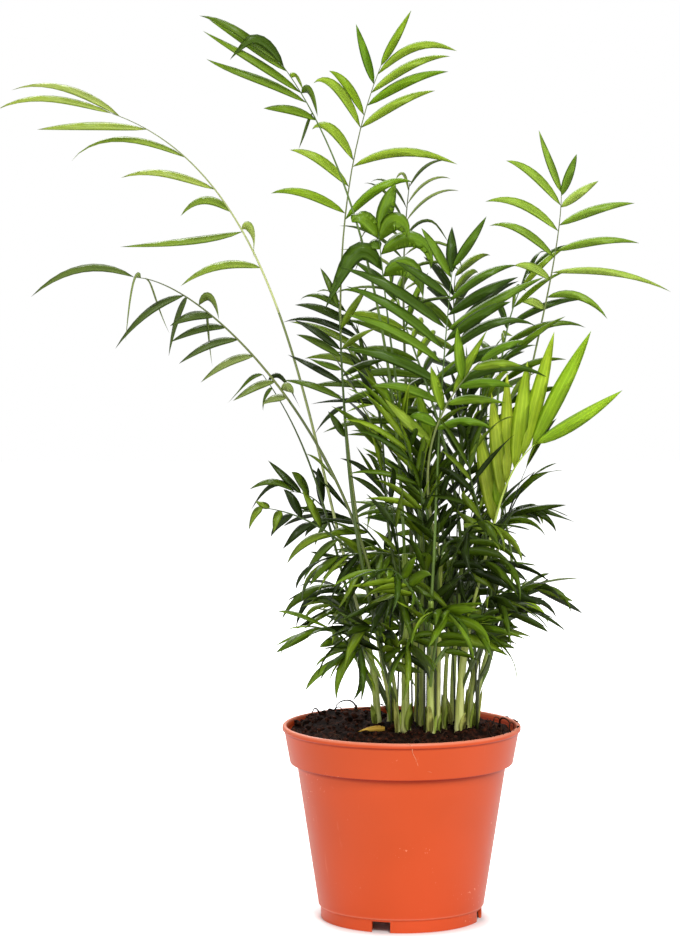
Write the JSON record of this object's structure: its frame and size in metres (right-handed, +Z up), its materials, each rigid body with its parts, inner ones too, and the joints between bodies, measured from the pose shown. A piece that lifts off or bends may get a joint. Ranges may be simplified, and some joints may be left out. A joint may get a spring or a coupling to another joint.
{
  "type": "potted parlour palm",
  "caption": "Parlour palm: a clump of thin green stems with arching feather fronds, planted in peat in a round plastic nursery pot.",
  "frame": {"origin": "middle of the flat underside of the pot", "axes": "+Z up, +Y towards the back of the plant, +X towards the side of the fan frond"},
  "size_m": [0.4816, 0.2362, 0.6499],
  "materials": {
    "plastic_pot": "satin",
    "potting_soil": "matte",
    "dry_husk": "matte",
    "stem": "satin",
    "leaf_lime": "satin",
    "leaf_green": "satin",
    "leaf_dark": "satin"
  },
  "bodies": {
    "root": {"pot": "plastic_pot", "soil": "potting_soil", "dry_sheath": "dry_husk", "stem_a": "stem", "stem_b": "stem", "stem_c": "stem", "stem_d": "stem", "stem_e": "stem", "stem_f": "stem", "stem_g": "stem", "stem_h": "stem", "stem_i": "stem", "stem_j": "stem", "stem_k": "stem", "stem_l": "stem", "stem_m": "stem", "stem_n": "stem", "petiole_west_drooping": "leaf_green", "petiole_west_high": "leaf_lime", "frond_back_fine": "leaf_green", "frond_belt_1": "leaf_dark", "frond_belt_2": "leaf_dark", "frond_belt_3": "leaf_green", "frond_belt_4": "leaf_dark", "frond_belt_5": "leaf_dark", "frond_belt_6": "leaf_green", "frond_belt_7": "leaf_dark", "frond_centre_bright": "leaf_lime", "frond_centre_broad": "leaf_dark", "frond_centre_west": "leaf_green", "frond_east_fan": "leaf_lime", "frond_east_high": "leaf_green", "frond_rear_1": "leaf_green", "frond_rear_2": "leaf_dark", "frond_rear_3": "leaf_green", "frond_rear_4": "leaf_dark", "frond_skirt_1": "leaf_dark", "frond_skirt_2": "leaf_green", "frond_skirt_3": "leaf_dark", "frond_skirt_4": "leaf_green", "frond_skirt_5": "leaf_dark", "frond_skirt_6": "leaf_green", "frond_skirt_7": "leaf_dark", "frond_skirt_8": "leaf_green", "frond_skirt_9": "leaf_dark", "frond_top": "leaf_lime", "frond_top_west": "leaf_green", "frond_waist_1": "leaf_dark", "frond_waist_2": "leaf_green", "frond_waist_3": "leaf_dark", "frond_waist_4": "leaf_green", "frond_waist_5": "leaf_dark", "frond_waist_6": "leaf_green", "frond_west_drooping": "leaf_green", "frond_west_high": "leaf_lime", "frond_west_inner": "leaf_dark", "frond_west_low": "leaf_dark", "frond_west_low_back": "leaf_dark", "frond_west_middle": "leaf_dark"}
  },
  "joints": []
}
